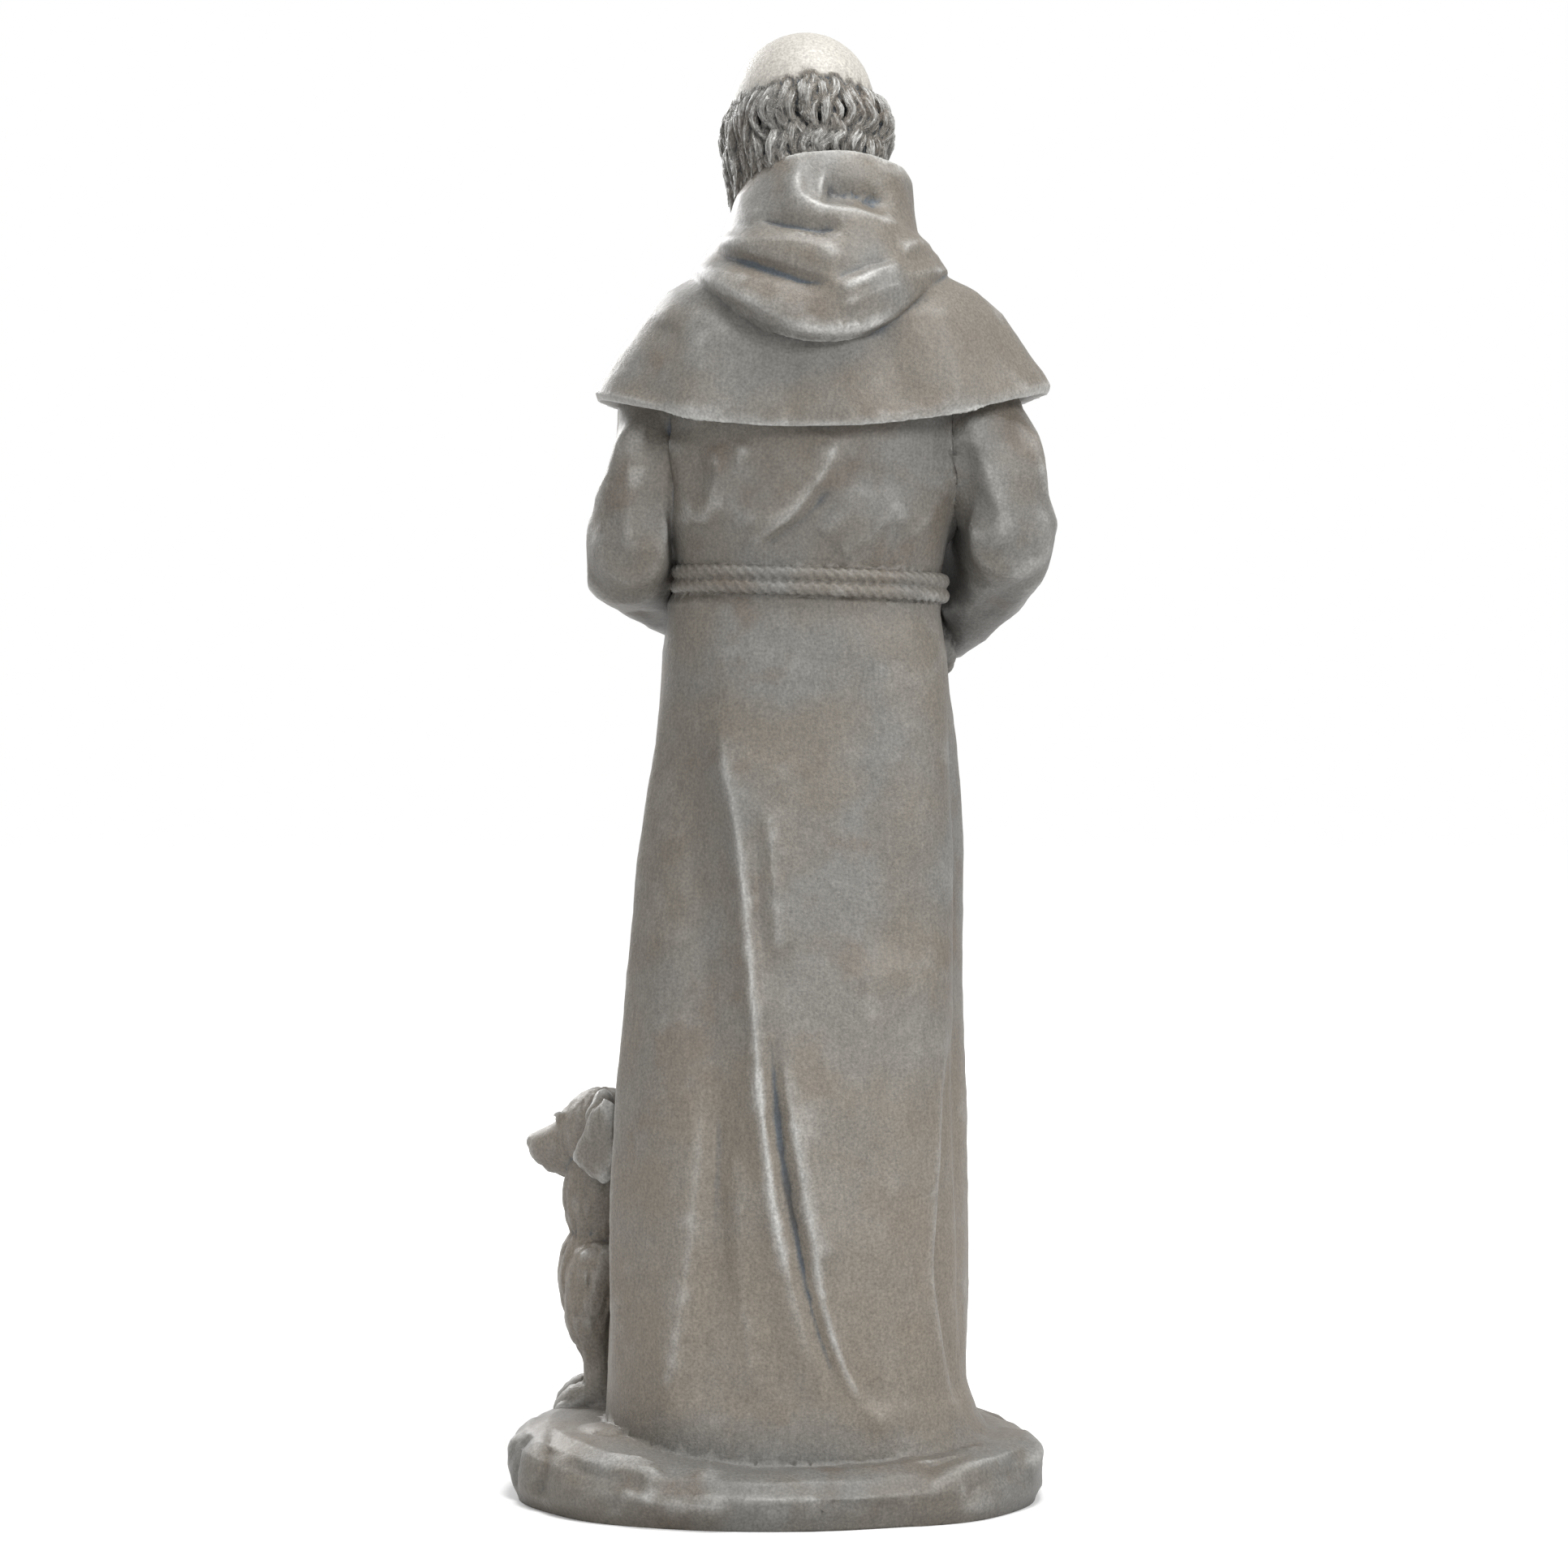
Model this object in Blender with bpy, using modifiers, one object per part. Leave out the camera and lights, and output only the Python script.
"""Garden statue: a robed saint with a dog at the left side, on a rocky base, cast in one piece of stone.

Metres, +Z up. The saint faces -Y. The origin is the middle of the base's flat underside.

The figure is modelled like clay: closed lumps are laid over each other and fused, the surface is softened,
and folds and creases are then pressed into it as strokes. Its sizes are counted in units, of which the
figure's height has 878. They are measured from the upright line through the waist (x to the figure's left,
y to the back) and from the level on which the figure stands.
"""

import math

import bmesh
import bpy
import numpy as np
from mathutils import Euler, Matrix, Vector

BASE_WIDTH = 0.331
BASE_DEPTH = 0.270
STANDING_LEVEL = 0.036
FIGURE_HEIGHT = 0.878
WAIST_X = -0.020
UNIT = FIGURE_HEIGHT / 878

VOXEL = 0.0024
SOFTENING = 2
RING_POINTS = 72
TRIANGLES = 9700

HEAD_CENTRE = (3, -14, 815)
HEAD_TURN = math.radians(22)
HEAD_BOW = math.radians(11)
HEAD_TILT = math.radians(-6)

ROBE_SQUARENESS = 2.3

# Hair, from the head's middle: the fringe's rings (half width, half depth, height), and the rows under it.
FRINGE = (
    (38, 44, -7), (45, 52, -8), (49, 56, -2), (50.5, 57.5, 6), (49, 56, 13), (44, 51, 18), (39, 47, 15),
)
FRINGE_TOP = 18
FRINGE_LOCKS = 40
BROW_RISE = 4
HAIR_MIDDLE = 2
NAPE_ROWS = ((-8, 43, 50), (-20, 41, 47), (-32, 37, 43))
NAPE_LOCKS = 17
# Along a lock: share of its length, how far it stands off the skull, how far it has swung, thickness.
LOCK_RUN = ((0, 0, 0, 0.6), (0.3, 0.9, 0.6, 1.0), (0.65, 1.0, 1.0, 0.95), (1, 0.5, 0.3, 0.5))

FOREARM_TURN = 62

DOG_CENTRE = (128, -58)
DOG_HEAD_CENTRE = (134, -57, 184)
DOG_HEAD_TURN = math.radians(-30)

# Skirt and upper robe, from the hem up: height, left edge, right edge, front, back.
ROBE = (
    (-18, 132, -118, -102, 98),
    (0, 130, -116, -101, 97),
    (14, 129, -106, -99, 95),
    (34, 128, -99, -97, 93),
    (90, 126, -98, -95, 90),
    (150, 125, -97, -92, 87),
    (210, 121, -96, -89, 83),
    (280, 114, -93, -84, 77),
    (360, 106, -94, -79, 70),
    (430, 96, -91, -72, 63),
    (490, 93, -86, -66, 58),
    (518, 89, -82, -62, 54),
    (530, 80, -80, -59, 51),
    (543, 85, -84, -64, 56),
    (570, 91, -90, -73, 64),
    (610, 92, -93, -78, 68),
    (650, 92, -96, -76, 68),
    (700, 78, -86, -62, 58),
    (735, 44, -50, -44, 46),
    (760, 34, -40, -38, 36),
)

# Shoulder cape, from the neck down: height at the back, height at the sides, left, right, front, back.
CAPE = (
    (735, 742, 46, -60, -42, 48),
    (716, 724, 71, -86, -56, 60),
    (704, 713, 90, -107, -66, 67),
    (691, 700, 103, -122, -72, 71),
    (675, 687, 112, -131, -76, 74),
    (658, 675, 121, -139, -79, 76),
    (641, 662, 131, -147, -82, 78),
    (629, 653, 136, -152, -84, 80),
    (624, 648, 134, -151, -83, 79),
    (625, 648, 127, -143, -78, 74),
    (640, 658, 90, -100, -62, 58),
)

# Folded hood, from inside the rim down: height at the back, the sides and the front, left, right, front, back.
HOOD = (
    (776, 760, 735, 30, -44, -34, 34),
    (793, 774, 740, 36, -55, -44, 45),
    (796, 774, 739, 41, -61, -50, 51),
    (786, 768, 736, 46, -66, -55, 57),
    (765, 754, 729, 51, -68, -59, 65),
    (747, 742, 721, 58, -73, -62, 74),
    (729, 732, 713, 71, -86, -66, 82),
    (712, 725, 705, 77, -90, -70, 87),
    (696, 718, 698, 76, -86, -71, 88),
    (683, 711, 690, 70, -81, -70, 86),
    (676, 706, 686, 62, -74, -65, 80),
    (684, 712, 694, 48, -62, -54, 64),
)

# Each sleeve, along the forearm from behind the elbow to the cuff: x outward, y, middle height, half width,
# half height.
LEFT_SLEEVE = (
    (99, 34, 568, 12, 14),
    (111, 26, 558, 24, 27),
    (115, 8, 553, 30, 35),
    (108, -22, 551, 28, 37),
    (95, -52, 549, 26, 46),
    (76, -78, 547, 22, 50),
    (54, -96, 545, 17, 55),
    (38, -104, 545, 15, 55),
    (36, -105, 546, 12, 51),
    (44, -99, 552, 11, 42),
    (62, -86, 556, 9, 26),
)
RIGHT_SLEEVE = (
    (112, 34, 574, 14, 16),
    (125, 26, 566, 28, 31),
    (127, 8, 563, 31, 36),
    (119, -22, 556, 30, 42),
    (105, -50, 547, 27, 52),
    (86, -78, 543, 24, 57),
    (60, -96, 542, 18, 58),
    (42, -104, 542, 15, 56),
    (40, -105, 543, 12, 52),
    (48, -99, 552, 11, 42),
    (66, -86, 556, 9, 26),
)

# Each upper arm inside its sleeve, from the shoulder to the elbow: x outward, y, height, radius.
LEFT_ARM = ((74, 0, 690, 26), (90, 1, 650, 28), (98, 4, 608, 29), (108, 8, 576, 26))
RIGHT_ARM = ((78, 0, 690, 28), (99, 2, 648, 31), (112, 6, 608, 31), (121, 8, 580, 27))

BELT_HEIGHT = 531
BELT_SLOPE = 0.036
ROPE_APART = 4.6
ROPE_RADIUS = 4.9
CUFF_LAG = 16
HOOD_LEAN = 9
CAPE_LEAN = 5


FIGURE = Matrix.Translation((WAIST_X, 0, STANDING_LEVEL)) @ Matrix.Diagonal((UNIT, UNIT, UNIT, 1))
HEAD = (
    FIGURE
    @ Matrix.Translation(HEAD_CENTRE)
    @ Matrix.Rotation(HEAD_TURN, 4, "Z")
    @ Matrix.Rotation(HEAD_BOW, 4, "X")
    @ Matrix.Rotation(HEAD_TILT, 4, "Y")
)
DOG_HEAD = FIGURE @ Matrix.Translation(DOG_HEAD_CENTRE) @ Matrix.Rotation(DOG_HEAD_TURN, 4, "Z")

CAP_ANGLES = (0.5, 1.0, 1.4)
PARALLEL = 0.001
LEAST_RADIUS = 0.2
DRAPED = 2.1
STONE_COLOUR = (0.30, 0.275, 0.24)
STONE_ROUGHNESS = 0.75
SHARP_FROM = math.radians(50)


# The rock's outline from under the ground up: height and share of its full width.
ROCK_PROFILE = (
    (-42, 0.965), (-34, 0.975), (-27, 0.995), (-16, 1.0), (-6, 0.985), (1, 0.94), (5, 0.86), (5, 0.6),
)
ROCK_SQUARENESS = 0.8
ROCK_SHOULDER = -10
DOG_SIDE_RISE = 4
BACK_DIP = 9
FRONT_DIP = 5
ROCK_ONLY_BELOW = 0.8


def place(x, y, z):
    """The point in metres of a place counted in the figure's units."""
    return FIGURE @ Vector((x, y, z))


def material(name, colour, roughness):
    made = bpy.data.materials.new(name)
    made.use_nodes = True
    shader = made.node_tree.nodes["Principled BSDF"]
    shader.inputs["Base Color"].default_value = (*colour, 1.0)
    shader.inputs["Roughness"].default_value = roughness
    shader.inputs["Metallic"].default_value = 0.0
    return made


def loft(clay, rings, hoop=False):
    """Adds a closed lump, a skin over rings, closed at both ends by a fan or, as a hoop, end to end."""
    rows = [[clay.verts.new(point) for point in ring] for ring in rings]
    count = len(rows[0])
    for below, above in zip(rows, rows[1:] + (rows[:1] if hoop else [])):
        for i in range(count):
            j = (i + 1) % count
            clay.faces.new((below[i], below[j], above[j], above[i]))
    for row, turned in () if hoop else ((rows[0], True), (rows[-1], False)):
        tip = clay.verts.new(sum((vert.co for vert in row), Vector()) / count)
        for i in range(count):
            j = (i + 1) % count
            clay.faces.new((row[j], row[i], tip) if turned else (row[i], row[j], tip))


def oval(left, right, front, back, squareness, heights, lean=0.0):
    """A ring from four edges, with heights at the back, the sides and the front, and the right higher by lean."""
    centre_x = (left + right) / 2
    half_x = (left - right) / 2
    at_back, at_side, at_front = heights
    points = []
    for i in range(RING_POINTS):
        angle = math.tau * i / RING_POINTS
        cosine, sine = math.cos(angle), math.sin(angle)
        x = centre_x + half_x * math.copysign(abs(cosine) ** (2 / squareness), cosine)
        reach = back if sine > 0 else -front
        y = reach * math.copysign(abs(sine) ** (2 / squareness), sine)
        end = at_back if sine > 0 else at_front
        z = at_side + (end - at_side) * sine * sine - lean / 2 * cosine
        points.append(place(x, y, z))
    return points


def ball(clay, centre, radii, turn=(0, 0, 0), frame=FIGURE):
    """Adds an ellipsoid. Radii are in units and the turn is in degrees."""
    rotation = Euler([math.radians(angle) for angle in turn]).to_matrix().to_4x4()
    size = Matrix.Diagonal((*radii, 1.0))
    where = frame @ Matrix.Translation(centre) @ rotation @ size
    bmesh.ops.create_uvsphere(clay, u_segments=24, v_segments=16, radius=1.0, matrix=where)


def smooth_path(points, steps):
    """Points of a smooth curve through the given ones, each with its radius as the last number."""
    ends = [points[0], *points, points[-1]]
    path = []
    for k in range(1, len(ends) - 2):
        p0, p1, p2, p3 = (np.array(ends[k + j - 1], float) for j in range(4))
        for step in range(steps):
            t = step / steps
            path.append(
                0.5 * (2 * p1 + (p2 - p0) * t + (2 * p0 - 5 * p1 + 4 * p2 - p3) * t**2
                       + (3 * p1 - p0 - 3 * p2 + p3) * t**3)
            )
    path.append(np.array(points[-1], float))
    return path


def rounded_ends(path):
    """The path with a few more places past each end, where the radius shrinks to nothing like a ball's."""
    caps = []
    for end, inner in ((path[0], path[1]), (path[-1], path[-2])):
        outward = end[:3] - inner[:3]
        outward = outward / np.linalg.norm(outward)
        caps.append([
            np.array([*(end[:3] + outward * end[3] * math.sin(angle)), end[3] * math.cos(angle)])
            for angle in CAP_ANGLES
        ])
    return caps[0][::-1] + path + caps[1]


def tube(clay, points, frame=FIGURE, sides=10, steps=5, hoop=False):
    """Adds a round limb or cord along a curve. A point is x, y, z and the radius there."""
    path = smooth_path(points, steps)
    path = path[:-1] if hoop else rounded_ends(path)
    rings = []
    side = Vector((0, 0, 1))
    for k, row in enumerate(path):
        ahead = Vector((path[min(k + 1, len(path) - 1)] - path[max(k - 1, 0)])[:3]).normalized()
        across = ahead.cross(side)
        if across.length < PARALLEL:
            across = ahead.cross(Vector((1, 0, 0)))
        across.normalize()
        side = across.cross(ahead).normalized()
        radius = max(row[3], LEAST_RADIUS)
        ring = []
        for i in range(sides):
            angle = math.tau * i / sides
            offset = (across * math.cos(angle) + side * math.sin(angle)) * radius
            ring.append(frame @ (Vector(row[:3]) + offset))
        rings.append(ring)
    loft(clay, rings, hoop)


def robe(clay):
    loft(clay, [oval(*edges, ROBE_SQUARENESS, (z, z, z)) for z, *edges in ROBE])


def cape(clay):
    loft(clay, [
        oval(left, right, front, back, DRAPED, (at_back, at_side, at_back + 2), CAPE_LEAN if at_back < 645 else 0)
        for at_back, at_side, left, right, front, back in reversed(CAPE)
    ])


def hood(clay):
    loft(clay, [
        oval(left, right, front, back, DRAPED, (at_back, at_side, at_front), HOOD_LEAN if at_back > 770 else 0)
        for at_back, at_side, at_front, left, right, front, back in reversed(HOOD)
    ])


def sleeve(clay, sections, arm, side):
    """A hanging bell sleeve, of upright ovals square to the forearm whose lower part trails, and the upper arm."""
    rings = []
    for x, y, z, half_width, half_height in sections:
        share = min(max((34 - y) / 120, 0.0), 1.0)
        bearing = math.radians(FOREARM_TURN) * share
        ahead = Vector((-math.sin(bearing), -math.cos(bearing), 0))
        across = Vector((-ahead.y, ahead.x, 0))
        ring = []
        for i in range(RING_POINTS // 2):
            angle = math.tau * i / (RING_POINTS // 2)
            low = (1 - math.sin(angle)) / 2
            point = Vector((x, y, z)) - ahead * CUFF_LAG * share**3 * low
            point += across * half_width * math.cos(angle) * (0.78 + 0.3 * low)
            point.z += half_height * math.sin(angle)
            ring.append(place(side * point.x, point.y, point.z))
        rings.append(ring if side > 0 else ring[::-1])
    loft(clay, rings)
    tube(clay, [(side * x, *rest) for x, *rest in arm], sides=20)


def arms(clay):
    sleeve(clay, LEFT_SLEEVE, LEFT_ARM, 1)
    sleeve(clay, RIGHT_SLEEVE, RIGHT_ARM, -1)
    ball(clay, (100, 12, 598), (26, 25, 46))
    ball(clay, (-118, 12, 600), (30, 26, 48))


def hand(clay, wrist, knuckles, lift):
    """A hand laid flat on the belly, with its fingers running on past the knuckles."""
    wrist, knuckles = Vector(wrist), Vector(knuckles)
    along = (knuckles - wrist).normalized()
    up = Vector((0, 0, 1))
    middle = wrist.lerp(knuckles, 0.5)
    tube(clay, [(*(wrist - along * 22), 12), (*wrist, 10), (*middle, 11.5), (*knuckles, 10)])
    ball(clay, wrist.lerp(knuckles, 0.6), (15, 7.5, 15))
    for finger in range(4):
        root = knuckles + up * (11 - 7.4 * finger) + Vector((0, -2 - lift, 0))
        middle = root + along * (15 - abs(finger - 1.4)) + Vector((0, -1, -3))
        tip = middle + along * (13 - 1.5 * abs(finger - 1.4)) + Vector((0, 5, -4))
        tube(clay, [(*root, 4.7), (*middle, 4.3), (*tip, 3.2)], sides=8, steps=3)
    thumb = wrist + along * 10 + up * 14
    joint = thumb + along * 12 + up * 3
    tube(clay, [(*thumb, 5.2), (*joint, 4.6), (*(thumb + along * 22 + up), 3.4)], sides=8)


def hands(clay):
    hand(clay, (-32, -106, 566), (-6, -113, 572), 0)
    hand(clay, (34, -109, 582), (8, -122, 575), 2)


def foot(clay, x, toe_out):
    turned = FIGURE @ Matrix.Translation((x, -96, 0)) @ Matrix.Rotation(math.radians(toe_out), 4, "Z")
    ball(clay, (0, 4, 9), (18, 32, 14), frame=turned)
    ball(clay, (0, 0, 0), (20, 36, 6), frame=turned)
    for toe in range(5):
        across = -12 + 6 * toe if toe_out > 0 else 12 - 6 * toe
        radius = 5.6 - 0.55 * toe
        ahead = -27 + 0.8 * toe * toe
        tube(clay, [(across, -6, 9, radius), (across, ahead + 8, 7, radius), (across, ahead, 4, radius * 0.9)],
             frame=turned, sides=8, steps=3)


def feet(clay):
    foot(clay, 34, 8)
    foot(clay, -30, -8)


def face(clay):
    ball(clay, (3, 1, 14), (45, 54, 49), frame=HEAD)
    ball(clay, (-1, 9, -14), (46, 46, 42), frame=HEAD)
    ball(clay, (0, -20, -22), (37, 37, 46), frame=HEAD)
    ball(clay, (0, -30, -50), (27, 27, 28), frame=HEAD)
    ball(clay, (0, 16, -34), (36, 34, 46), frame=HEAD)
    tube(clay, [(-29, -44, 4, 5), (-15, -53, 8, 5.5), (0, -54, 5, 5), (15, -53, 8, 5.5), (29, -44, 4, 5)], frame=HEAD)
    tube(clay, [(0, -52, 8, 4.5), (0, -60, -6, 5), (0, -68, -19, 6.5)], frame=HEAD)
    for side in (-1, 1):
        ball(clay, (side * 5.5, -62, -21), (5, 6, 4.5), frame=HEAD)
        ball(clay, (side * 17, -44, -4), (10, 9, 7.5), frame=HEAD)
        ball(clay, (side * 23, -40, -22), (14, 12, 12), frame=HEAD)
        ball(clay, (side * 46, 2, -12), (6, 11, 17), (0, side * 10, 0), frame=HEAD)
        tube(clay, [(side * 2, -61, -30, 4.5), (side * 12, -58, -35, 4.5), (side * 22, -50, -47, 4),
                    (side * 24, -46, -58, 2.5)], frame=HEAD)
    tube(clay, [(-10, -55, -40, 2.5), (0, -60, -40.5, 3.6), (10, -55, -40, 2.5)], frame=HEAD)
    tube(clay, [(-9, -55, -46, 2.5), (0, -59, -47, 4), (9, -55, -46, 2.5)], frame=HEAD)


def beard(clay):
    """Wavy locks hanging from the cheeks and chin."""
    for lock in range(13):
        share = lock / 12 * 2 - 1
        bearing = share * math.radians(104)
        root_x, root_y = 34 * math.sin(bearing), -16 - 33 * math.cos(bearing)
        length = 26 + 20 * math.cos(bearing / 1.3) ** 2
        root_z = -42 - 10 * math.cos(bearing) + (16 if abs(share) > 0.7 else 0)
        wave = 3 if lock % 2 else -3
        tube(clay, [
            (root_x, root_y, root_z, 6),
            (root_x * 0.96 + wave, root_y - 5, root_z - length * 0.4, 7),
            (root_x * 0.78 - wave, root_y - 3, root_z - length * 0.75, 5.5),
            (root_x * 0.6, root_y + 3, root_z - length, 2.5),
        ], frame=HEAD, sides=8, steps=4)


def hair_lock(clay, bearing, top, length, half_sizes, out, radius, sweep):
    """One lock on the side of the head: it lifts off the skull, curls sideways and comes back to it."""
    path = []
    for share, lift, turn, thickness in LOCK_RUN:
        angle = bearing + sweep * turn
        path.append((
            (half_sizes[0] + out * lift) * math.cos(angle),
            HAIR_MIDDLE + (half_sizes[1] + out * lift) * math.sin(angle),
            top - length * share,
            radius * thickness,
        ))
    tube(clay, path, frame=HEAD, sides=8, steps=4)


def hair(clay):
    """The tonsure: a thick rolled fringe round the bare crown, and closer locks from it down to the nape."""
    rings = []
    for half_x, half_y, height in FRINGE:
        rings.append([
            HEAD @ Vector((
                half_x * math.cos(turn),
                HAIR_MIDDLE + half_y * math.sin(turn),
                height + BROW_RISE * max(0, -math.sin(turn)),
            ))
            for turn in (math.tau * i / RING_POINTS for i in range(RING_POINTS))
        ])
    loft(clay, rings)
    for lock in range(FRINGE_LOCKS):
        bearing = math.tau * lock / FRINGE_LOCKS
        wobble = math.sin(lock * 2.4)
        hair_lock(clay, bearing, FRINGE_TOP + wobble, 25 + 3 * wobble, (44, 52), 7, 3.8, 0.07 + 0.08 * wobble)
    for row, (top, half_x, half_y) in enumerate(NAPE_ROWS):
        for lock in range(NAPE_LOCKS):
            bearing = math.radians(-30) + math.radians(240) * (lock + 0.5 * (row % 2)) / NAPE_LOCKS
            wobble = math.sin(lock * 2.9 + row)
            hair_lock(clay, bearing, top, 20 + 3 * wobble, (half_x, half_y), 6.5, 4.4, -0.05 + 0.1 * wobble)


def belt(clay):
    """Two ropes side by side round the waist."""
    for rope in (-1, 1):
        route = []
        for point in oval(84, -84, -63, 55, ROBE_SQUARENESS, (0, 0, 0)):
            x, y, _ = FIGURE.inverted() @ point
            route.append((x, y, BELT_HEIGHT + BELT_SLOPE * x + ROPE_APART * rope, ROPE_RADIUS))
        tube(clay, [*route, route[0]], sides=8, steps=1, hoop=True)


def robe_front(x, z):
    """How far forward the robe's plain surface lies at a place on its front."""
    for (z0, *below), (z1, *above) in zip(ROBE, ROBE[1:]):
        if z0 <= z <= z1:
            left, right, front, _ = (a + (b - a) * (z - z0) / (z1 - z0) for a, b in zip(below, above))
            across = min(abs(x - (left + right) / 2) / ((left - right) / 2), 1.0)
            return front * (1 - across**ROBE_SQUARENESS) ** (1 / ROBE_SQUARENESS)
    return 0.0


def cord_ends(clay):
    """The knot at the front right, a loop beside the hip and two ends with three knots each."""
    knot_x, knot_z = -64, 524
    ball(clay, (knot_x, robe_front(knot_x, knot_z) - 5, knot_z), (12, 9, 10))
    tube(clay, [(-68, -56, 522, 4), (-86, -52, 500, 4), (-93, -54, 482, 4), (-88, -60, 474, 4), (-76, -62, 496, 4),
                (-68, -58, 520, 4)])
    for x, length in ((-60, 250), (-48, 290)):
        route = []
        for share in (0, 0.2, 0.4, 0.6, 0.8, 1):
            z = knot_z - 6 - (length - 6) * share
            route.append((x + 4 * share, robe_front(x, z) - 3.5, z, 4.2))
        tube(clay, route)
        for knot in range(3):
            z = knot_z - length + 10 + 34 * knot
            ball(clay, (x + 3, robe_front(x, z) - 5, z), (7, 6, 8))


def bird(clay):
    """A small bird resting on the front of the left shoulder, with its tail to the outside."""
    ball(clay, (82, -60, 686), (20, 10, 11), (0, 16, 30))
    ball(clay, (66, -70, 699), (9, 8.5, 8.5))
    tube(clay, [(62, -73, 699, 4), (54, -78, 696, 1.5)])
    tube(clay, [(94, -52, 681, 7), (110, -43, 678, 4.5)])


def dog(clay):
    """A young dog sitting at the robe's front left corner, chest outward, with hanging ears."""
    x, y = DOG_CENTRE
    ball(clay, (x - 46, y - 24, 42), (36, 31, 40), (0, -18, 0))
    ball(clay, (x - 40, y - 46, 34), (27, 14, 29), (0, -24, 0))
    ball(clay, (x - 20, y - 8, 80), (36, 31, 50), (0, 32, 0))
    ball(clay, (x + 8, y + 1, 88), (27, 28, 42), (0, 2, 0))
    ball(clay, (x + 7, y + 2, 140), (25, 22, 38), (0, 0, 0))
    tube(clay, [(x - 30, y - 54, 16, 12), (x - 8, y - 60, 11, 10), (x + 8, y - 61, 8, 9)])
    for paw_y in (y - 14, y + 17):
        tube(clay, [(x + 8, paw_y, 96, 20), (x + 12, paw_y, 66, 18), (x + 7, paw_y, 42, 12), (x + 6, paw_y, 18, 12)],
             sides=14)
        tube(clay, [(x + 2, paw_y, 15, 12), (x + 20, paw_y, 12, 12.5), (x + 32, paw_y, 8, 10)], sides=14)
    ball(clay, (0, 0, 0), (27, 26, 27), frame=DOG_HEAD)
    ball(clay, (14, 0, -2), (18, 21, 20), frame=DOG_HEAD)
    tube(clay, [(14, 0, -7, 19), (30, 0, -12, 16), (42, 0, -14, 13)], frame=DOG_HEAD, sides=16)
    ball(clay, (52, 0, -11), (5, 8, 6), frame=DOG_HEAD)
    tube(clay, [(8, 0, -18, 15), (26, 0, -22, 11), (38, 0, -23, 8)], frame=DOG_HEAD, sides=14)
    for side in (-1, 1):
        tube(clay, [(-6, side * 20, 14, 7), (-4, side * 26, 2, 8), (-2, side * 28, -10, 8)], frame=DOG_HEAD)
        ball(clay, (0, side * 28, -14), (18, 6, 17), (side * 6, 40, 0), frame=DOG_HEAD)
        ball(clay, (22, side * 13, 6), (5, 5, 4.5), frame=DOG_HEAD)


def ground(clay):
    """The rock: a low mound with upright rounded sides, higher under the dog and beside the right foot."""
    half_x, half_y = BASE_WIDTH / 2 / UNIT, BASE_DEPTH / 2 / UNIT
    rings = []
    for height, share in ROCK_PROFILE:
        ring = []
        for i in range(RING_POINTS):
            angle = math.tau * i / RING_POINTS
            lumps = 1 + 0.012 * math.sin(5 * angle + 0.6) + 0.008 * math.sin(9 * angle)
            cosine, sine = math.cos(angle), math.sin(angle)
            x = share * half_x * lumps * math.copysign(abs(cosine) ** ROCK_SQUARENESS, cosine)
            y = share * half_y * lumps * math.copysign(abs(sine) ** ROCK_SQUARENESS, sine)
            dip = BACK_DIP if sine > 0 else FRONT_DIP
            tilt = DOG_SIDE_RISE * max(0.0, cosine) - dip * sine**2
            rise = height + (tilt if height > ROCK_SHOULDER else 0)
            ring.append(place(x - WAIST_X / UNIT, y, rise))
        rings.append(ring)
    loft(clay, rings)
    ball(clay, (134, -44, -10), (44, 58, 20), (0, 10, 0))
    ball(clay, (138, 36, -12), (36, 38, 21), (0, 14, 14))
    ball(clay, (-94, -26, -11), (32, 44, 22), (0, -8, 0))
    ball(clay, (-104, 44, -12), (36, 40, 17), (0, -10, 0))


def fused(name, builders, voxel, softening):
    """One closed skin round all lumps."""
    clay = bmesh.new()
    for builder in builders:
        builder(clay)
    bmesh.ops.recalc_face_normals(clay, faces=clay.faces)
    mesh = bpy.data.meshes.new(name)
    clay.to_mesh(mesh)
    clay.free()
    lumps = bpy.data.objects.new(name, mesh)
    bpy.context.scene.collection.objects.link(lumps)
    fuse = lumps.modifiers.new("Fuse", "REMESH")
    fuse.mode = "VOXEL"
    fuse.voxel_size = voxel
    soften = lumps.modifiers.new("Soften", "SMOOTH")
    soften.factor = 0.5
    soften.iterations = softening
    applied(lumps)
    return lumps


def applied(obj):
    """Makes the modifiers' result the object's own mesh."""
    graph = bpy.context.evaluated_depsgraph_get()
    result = bpy.data.meshes.new_from_object(obj.evaluated_get(graph))
    obj.modifiers.clear()
    obj.data = result


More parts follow.
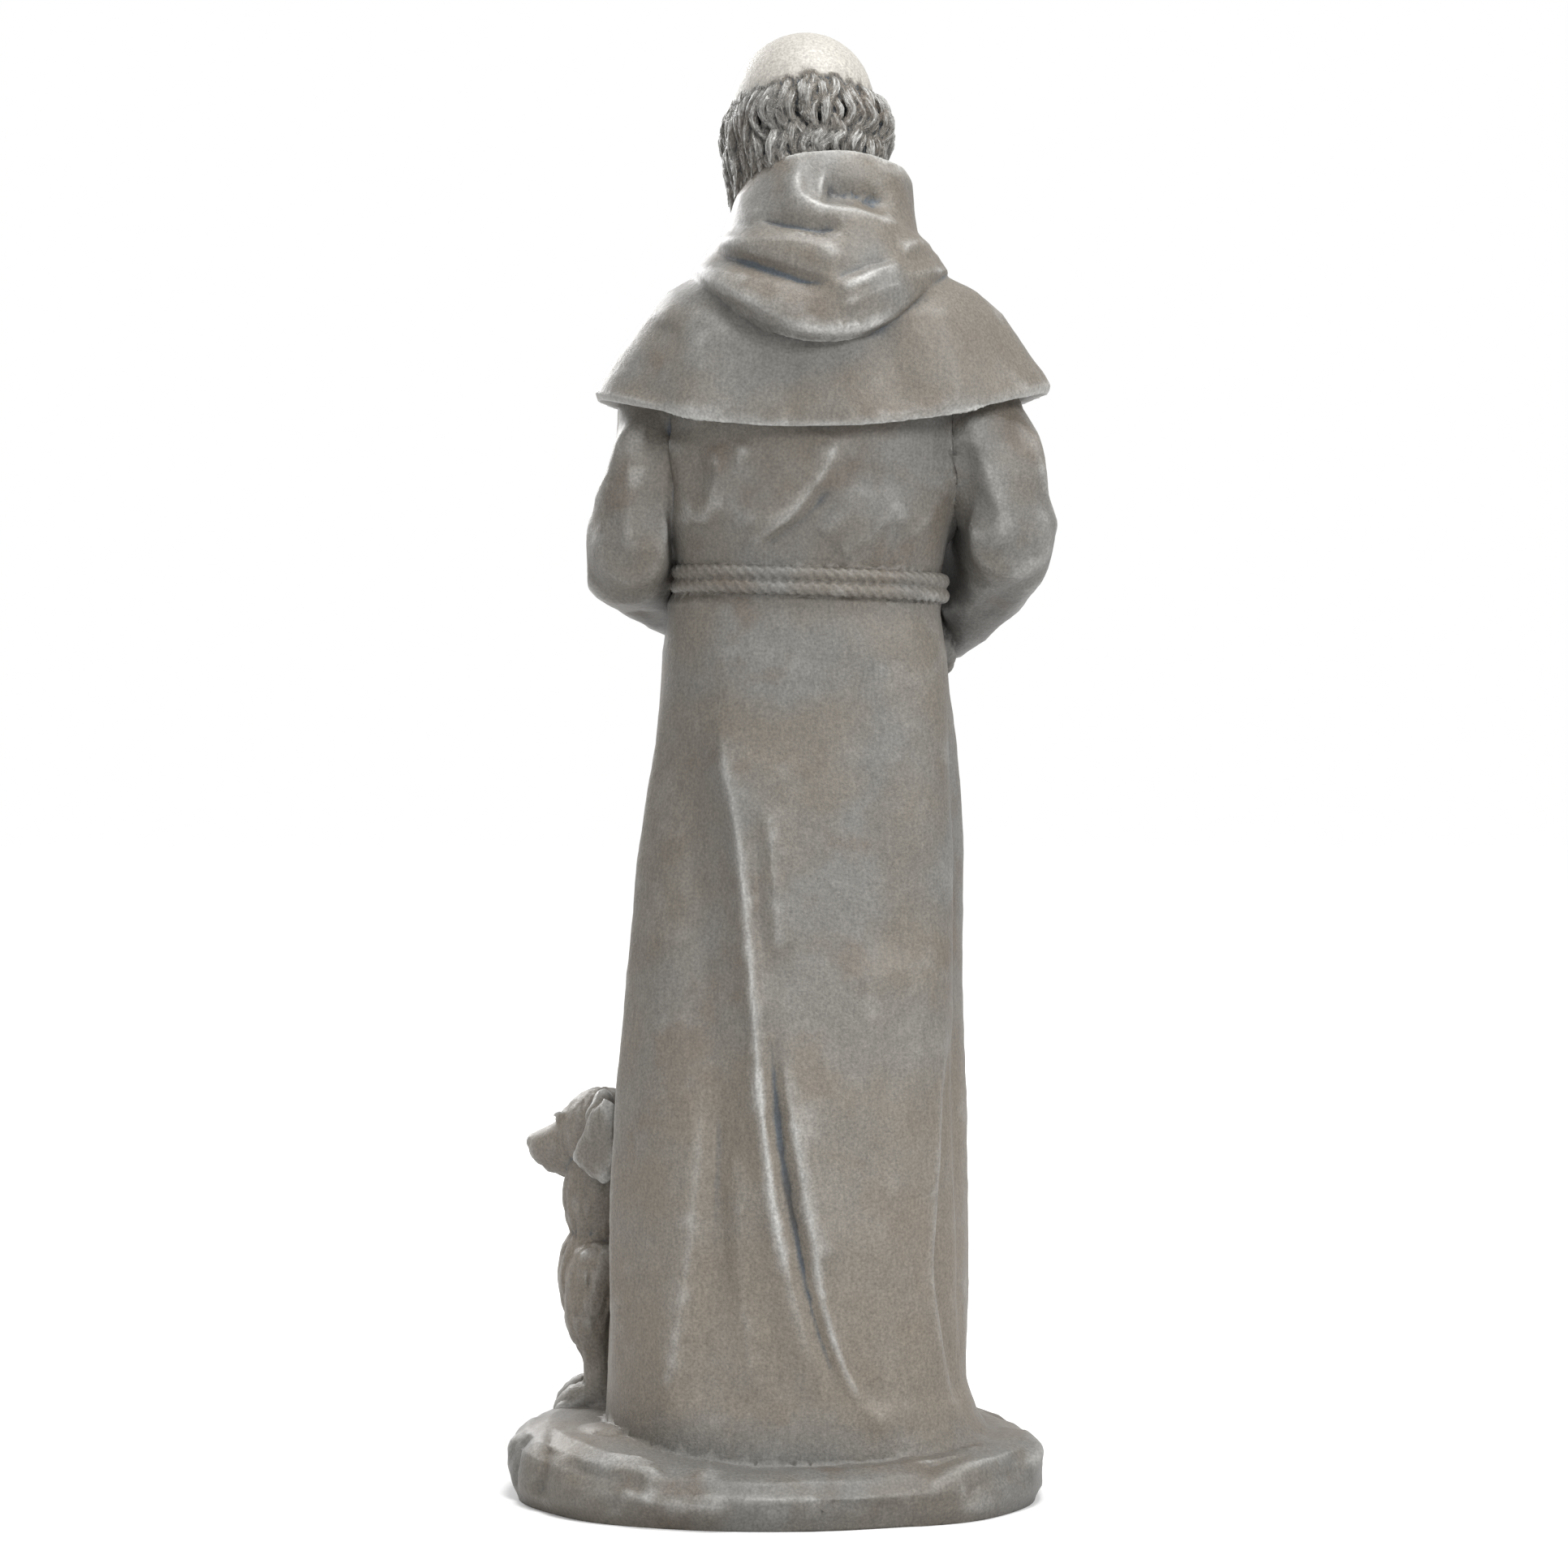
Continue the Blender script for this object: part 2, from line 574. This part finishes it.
# Strokes pressed into the surface: the side it is seen from, height (less than 0 is a crease), the half widths
# to the left and right of the way it runs, and its route. Seen from the back or front a place is x and height,
# and from the left or right it is y and height.
ROBE_BACK = (
    ("back", 7.5, (12, 38), (49, 540), (51, 459), (52, 422), (48, 402), (43, 375), (40, 350), (35, 292),
     (31, 228),
     (27, 190), (22, 144), (12, 108), (3, 74), (-13, 32), (-36, -14)),
    ("back", -5.0, (20, 17), (78, 520), (77, 400), (70, 330), (64, 250), (58, 160), (50, 90), (42, 10)),
    ("back", 2.6, (5, 12), (53, 440), (50, 415), (46, 396), (41, 360), (38, 320)),
    ("back", 3.0, (5, 8), (40, 350), (35, 292), (31, 228), (26, 185), (20, 140), (10, 104)),
    ("back", -3.2, (8, 10), (34, 392), (31, 350), (29, 310), (27, 270)),
    ("back", 2.8, (5, 10), (25, 395), (22, 351), (20, 300)),
    ("back", 5.6, (8, 22), (21, 290), (12, 215), (5, 173), (-3, 125), (-11, 83), (-21, 55), (-33, 35),
     (-60, 2)),
    ("back", -6.0, (8, 6), (26, 280), (21, 213), (16, 173), (4, 111), (-5, 75), (-24, 24)),
    ("back", -5.4, (7, 12), (-5, 128), (-14, 88), (-26, 55), (-46, 22)),
    ("back", 4.6, (12, 8), (66, 250), (70, 170), (76, 104), (82, 66), (92, 4)),
    ("back", -3.2, (9, 12), (58, 240), (60, 150), (65, 90), (74, 24)),
    ("back", 2.8, (11, 8), (46, 190), (44, 130), (40, 80), (34, 30)),
    ("back", 3.2, (7, 16), (-37, 268), (-33, 238), (-28, 205), (-22, 168)),
    ("back", 3.6, (16, 8), (-72, 270), (-66, 238), (-58, 204), (-48, 166)),
    ("back", -3.8, (12, 12), (-53, 262), (-47, 224), (-41, 180)),
    ("back", -3.0, (14, 20), (-20, 200), (-26, 140), (-34, 90), (-48, 40)),
    ("back", -2.4, (5, 7), (-34, 362), (-39, 350), (-48, 348), (-55, 356)),
    ("back", 3.6, (16, 10), (-72, 520), (-79, 440), (-83, 360), (-82, 280), (-76, 200)),
    ("back", -3.0, (24, 20), (-30, 500), (-34, 420), (-44, 330), (-52, 290)),
    ("back", -6.0, (4, 9), (-89, 270), (-87, 229), (-85, 187), (-82, 144), (-80, 111), (-84, 77),
     (-92, 37), (-104, 4)),
    ("back", 3.0, (9, 4), (-83, 260), (-80, 200), (-77, 144), (-75, 106), (-79, 72), (-88, 30)),
)
TORSO_BACK = (
    ("back", 5.0, (16, 7), (-17, 622), (-13, 608), (-4, 592), (8, 576), (24, 562), (44, 552)),
    ("back", -3.8, (8, 7), (-14, 590), (0, 573), (16, 560), (32, 552)),
    ("back", 3.2, (10, 7), (38, 618), (43, 604), (51, 586), (58, 568)),
    ("back", 3.4, (8, 6), (58, 616), (57, 596), (60, 578), (66, 562)),
    ("back", 3.8, (9, 9), (82, 626), (79, 604), (76, 584), (68, 562)),
    ("back", 2.2, (12, 10), (-36, 590), (-22, 572), (-6, 556)),
    ("back", 3.2, (12, 7), (-58, 586), (-46, 569), (-30, 555), (-16, 548)),
    ("back", 4.2, (12, 8), (-90, 612), (-84, 590), (-71, 570), (-54, 554)),
    ("back", -2.6, (8, 8), (-80, 590), (-68, 570), (-50, 556)),
    ("back", 4.8, (9, 13), (-101, 640), (-104, 625), (-112, 600), (-119, 575), (-119, 545)),
    ("back", -2.6, (12, 9), (-96, 620), (-100, 590), (-102, 560)),
    ("back", 3.2, (10, 9), (101, 640), (106, 605), (112, 575), (112, 545)),
)
CAPE_FOLDS = (
    ("back", 3.0, (17, 15), (56, 696), (66, 675), (71, 650), (74, 622)),
    ("back", 3.4, (19, 17), (-72, 704), (-82, 686), (-88, 665), (-93, 630)),
    ("back", -2.6, (15, 15), (-42, 690), (-51, 664), (-58, 632)),
    ("back", -2.6, (15, 15), (88, 694), (100, 668), (108, 640)),
    ("back", 1.8, (16, 16), (2, 676), (0, 652), (-4, 628)),
)
HOOD_FOLDS = (
    ("back", -7.5, (8, 9), (-6, 772), (-18, 770), (-34, 768), (-52, 762)),
    ("back", 5.0, (13, 5), (6, 800), (7, 782), (7, 769), (1, 761), (-10, 757), (-25, 755), (-39, 752),
     (-55, 746),
     (-72, 732)),
    ("back", 2.6, (9, 8), (46, 778), (42, 764), (34, 756), (18, 753)),
    ("back", -5.0, (3, 6), (36, 754), (22, 750), (8, 747), (-6, 744), (-20, 746)),
    ("back", 4.0, (8, 8), (66, 744), (44, 739), (20, 737), (2, 734), (-12, 730), (-22, 738)),
    ("back", -6.5, (9, 4), (70, 742), (56, 734), (41, 727), (25, 721), (11, 716), (-1, 712), (-18, 710)),
    ("back", -3.0, (5, 6), (-12, 712), (-26, 719), (-38, 724), (-54, 728)),
    ("back", 3.0, (6, 5), (-16, 706), (-30, 712), (-42, 719), (-58, 724)),
    ("back", 2.2, (5, 4), (-16, 698), (-30, 702), (-46, 709), (-58, 713)),
    ("back", 3.8, (6, 11), (76, 727), (67, 720), (51, 711), (34, 700), (13, 688), (-10, 683), (-31, 685),
     (-52, 697),
     (-71, 711), (-82, 719)),
    ("back", 3.0, (7, 5), (-78, 742), (-66, 738), (-54, 732)),
    ("front", -5.0, 5, (54, 720), (30, 708), (0, 702), (-32, 708), (-66, 720)),
    ("front", 3.5, 6, (50, 736), (26, 722), (0, 716), (-30, 722), (-58, 738)),
)
FRONT_FOLDS = (
    ("front", 5.0, (12, 7), (48, 500), (52, 380), (56, 240), (60, 110), (64, 10)),
    ("front", 5.5, (7, 12), (16, 505), (14, 380), (10, 240), (14, 110), (18, 10)),
    ("front", 5.0, (12, 7), (-18, 500), (-24, 380), (-30, 250), (-36, 120), (-40, 10)),
    ("front", 4.5, (7, 12), (-50, 500), (-60, 380), (-68, 240), (-76, 110), (-82, 10)),
    ("front", -5.0, 8, (32, 500), (34, 380), (34, 240), (38, 110), (42, 10)),
    ("front", -5.0, 8, (-2, 500), (-6, 380), (-12, 240), (-12, 110), (-12, 10)),
    ("front", -5.0, 8, (-36, 500), (-42, 380), (-50, 240), (-58, 110), (-64, 10)),
    ("front", 3.5, 9, (70, 690), (40, 668), (0, 658), (-44, 668), (-86, 690)),
    ("front", -3.0, 9, (84, 678), (44, 650), (0, 642), (-50, 650), (-100, 678)),
)
SIDE_FOLDS = (
    ("right", 4.5, 9, (-40, 470), (-46, 410), (-44, 350), (-36, 290)),
    ("right", 4.0, (6, 11), (30, 640), (26, 600), (6, 570), (-30, 556)),
    ("right", -4.0, 7, (10, 640), (2, 606), (-20, 584), (-56, 574)),
    ("right", 3.5, 8, (14, 536), (-16, 520), (-52, 516)),
    ("right", 4.0, (14, 8), (0, 480), (-6, 330), (-10, 180), (-14, 20)),
    ("right", -4.0, 9, (20, 480), (18, 330), (20, 180), (26, 30)),
    ("left", 4.0, (11, 6), (28, 640), (24, 600), (4, 572), (-30, 556)),
    ("left", -4.0, 7, (8, 640), (0, 606), (-20, 584), (-56, 574)),
    ("left", 3.5, 8, (12, 536), (-16, 520), (-50, 516)),
    ("left", 4.0, (14, 8), (10, 480), (16, 330), (26, 180), (34, 20)),
    ("left", -4.0, 10, (-14, 480), (-12, 330), (-4, 180), (0, 60)),
)
ROCK_MARKS = (
    ("back", -4.0, (3, 6), (158, 14), (164, -6), (168, -30)),
    ("back", 3.5, (10, 5), (152, 12), (126, 10), (104, 0), (84, -10)),
    ("back", -3.5, (8, 5), (150, -4), (124, -8), (96, -12)),
    ("back", 3.0, (8, 5), (118, -12), (88, -20), (44, -20)),
    ("back", -4.0, (4, 7), (-62, -4), (-92, 3), (-122, 8)),
    ("back", 3.0, (7, 4), (-66, -14), (-96, -5), (-130, 1)),
    ("back", -3.0, (5, 8), (-92, -18), (-112, -12), (-134, -12)),
    ("back", -2.5, 10, (0, -16), (-36, -22), (-70, -27)),
    ("left", -4.0, 7, (-70, 4), (-60, -14), (-66, -30)),
    ("left", -4.0, 7, (36, 6), (44, -12), (38, -30)),
    ("left", 3.0, 9, (-20, -2), (10, -8), (30, -4)),
    ("right", -4.0, 7, (-56, 8), (-46, -10), (-52, -30)),
    ("right", 3.0, 9, (0, 0), (36, -4), (70, -12)),
    ("front", -4.0, 7, (70, -4), (78, -16), (72, -32)),
    ("front", -3.5, 7, (-44, -6), (-52, -18), (-46, -32)),
    ("front", 3.0, 9, (-10, -8), (30, -6), (60, -12)),
)
FADE_SHARE = 0.22
LEAST_FACING = 0.05
FULL_FACING = 0.40
SPREAD = 2.6
CREST = 1.6
VIEWS = {
    "back": ((0, 2), (0, 1, 0)),
    "front": ((0, 2), (0, -1, 0)),
    "left": ((1, 2), (1, 0, 0)),
    "right": ((1, 2), (-1, 0, 0)),
}


def press(obj, strokes):
    """Raises ridges and lowers creases along each stroke, where the surface faces the stroke's side."""
    mesh = obj.data
    count = len(mesh.vertices)
    points = np.empty(count * 3)
    mesh.vertices.foreach_get("co", points)
    points = points.reshape(-1, 3)
    normals = np.array([tuple(normal.vector) for normal in mesh.vertex_normals])
    places = (points - np.array(FIGURE.translation)) / UNIT
    move = np.zeros(count)
    for view, height, widths, *route in strokes:
        axes, outward = VIEWS[view]
        left, right = widths if isinstance(widths, tuple) else (widths, widths)
        spread = SPREAD * max(left, right)
        flat = places[:, axes]
        facings = normals @ np.array(outward)
        path = np.array([row[:2] for row in smooth_path(route, 3)])
        near = (flat > path.min(0) - spread).all(1) & (flat < path.max(0) + spread).all(1)
        chosen = np.nonzero(near & (facings > LEAST_FACING))[0]
        spots = flat[chosen]
        closest = np.full(len(chosen), np.inf)
        share = np.zeros(len(chosen))
        on_left = np.zeros(len(chosen), bool)
        for k, (start, end) in enumerate(zip(path, path[1:])):
            along = end - start
            off = spots - start
            t = np.clip(off @ along / max(along @ along, 1e-9), 0, 1)
            off -= t[:, None] * along
            distance = np.hypot(*off.T)
            nearer = distance < closest
            closest[nearer] = distance[nearer]
            share[nearer] = ((k + t) / (len(path) - 1))[nearer]
            on_left[nearer] = (along[0] * off[:, 1] > along[1] * off[:, 0])[nearer]
        fade = np.minimum(1, np.minimum(share, 1 - share) / FADE_SHARE)
        facing = np.clip((facings[chosen] - LEAST_FACING) / (FULL_FACING - LEAST_FACING), 0, 1)
        reach = np.where(on_left, left, right)
        move[chosen] += height * np.exp(-((closest / reach) ** CREST)) * fade * fade * (3 - 2 * fade) * facing
    points += normals * (move * UNIT)[:, None]
    mesh.vertices.foreach_set("co", points.ravel())
    mesh.update()


def largest_body(obj):
    """Leaves only the outer skin, without closed pockets between lumps."""
    body = bmesh.new()
    body.from_mesh(obj.data)
    seen = set()
    bodies = []
    for start in body.verts:
        if start in seen:
            continue
        group, queue = [], [start]
        seen.add(start)
        while queue:
            vert = queue.pop()
            group.append(vert)
            for edge in vert.link_edges:
                other = edge.other_vert(vert)
                if other not in seen:
                    seen.add(other)
                    queue.append(other)
        bodies.append(group)
    bodies.sort(key=len)
    for group in bodies[:-1]:
        bmesh.ops.delete(body, geom=group, context="VERTS")
    body.to_mesh(obj.data)
    body.free()


def thinned(obj, triangles):
    mesh = obj.data
    mesh.calc_loop_triangles()
    thin = obj.modifiers.new("Thin", "DECIMATE")
    thin.ratio = triangles / len(mesh.loop_triangles)
    applied(obj)


def flat_underside(obj):
    """Cuts the rock level at the ground and closes it there."""
    body = bmesh.new()
    body.from_mesh(obj.data)
    geometry = body.verts[:] + body.edges[:] + body.faces[:]
    bmesh.ops.bisect_plane(
        body, geom=geometry, dist=0.0002, plane_co=(0, 0, 0), plane_no=(0, 0, -1), clear_outer=True)
    rim = [edge for edge in body.edges if edge.is_boundary]
    for vert in {vert for edge in rim for vert in edge.verts}:
        vert.co.z = 0.0
    bmesh.ops.holes_fill(body, edges=rim)
    bmesh.ops.triangulate(body, faces=body.faces)
    body.to_mesh(obj.data)
    body.free()


def sized(obj):
    """Brings the rock to its stated width and depth, and the casting to its stated height."""
    mesh = obj.data
    points = np.empty(len(mesh.vertices) * 3)
    mesh.vertices.foreach_get("co", points)
    points = points.reshape(-1, 3)
    rock = points[points[:, 2] < STANDING_LEVEL * ROCK_ONLY_BELOW]
    low, high = rock.min(0), rock.max(0)
    middle = np.array([(low[0] + high[0]) / 2, (low[1] + high[1]) / 2, 0])
    size = np.array([BASE_WIDTH, BASE_DEPTH, STANDING_LEVEL + FIGURE_HEIGHT])
    rough = np.array([high[0] - low[0], high[1] - low[1], points[:, 2].max()])
    points = (points - middle) * (size / rough)
    mesh.vertices.foreach_set("co", points.ravel())
    mesh.update()


def main():
    for obj in list(bpy.data.objects):
        bpy.data.objects.remove(obj, do_unlink=True)
    collection = bpy.data.collections.new("garden_statue")
    bpy.context.scene.collection.children.link(collection)

    lumps = (robe, cape, hood, arms, hands, face, beard, hair, belt, cord_ends, bird, dog, ground, feet)
    statue = fused("statue", lumps, VOXEL, SOFTENING)
    press(statue, ROBE_BACK + TORSO_BACK + CAPE_FOLDS + HOOD_FOLDS + FRONT_FOLDS + SIDE_FOLDS + ROCK_MARKS)
    largest_body(statue)
    thinned(statue, TRIANGLES)
    flat_underside(statue)
    sized(statue)
    bpy.context.scene.collection.objects.unlink(statue)
    collection.objects.link(statue)
    statue.data.materials.clear()
    statue.data.materials.append(material("cast stone", STONE_COLOUR, STONE_ROUGHNESS))
    statue.data.shade_smooth()
    statue.data.set_sharp_from_angle(angle=SHARP_FROM)


main()
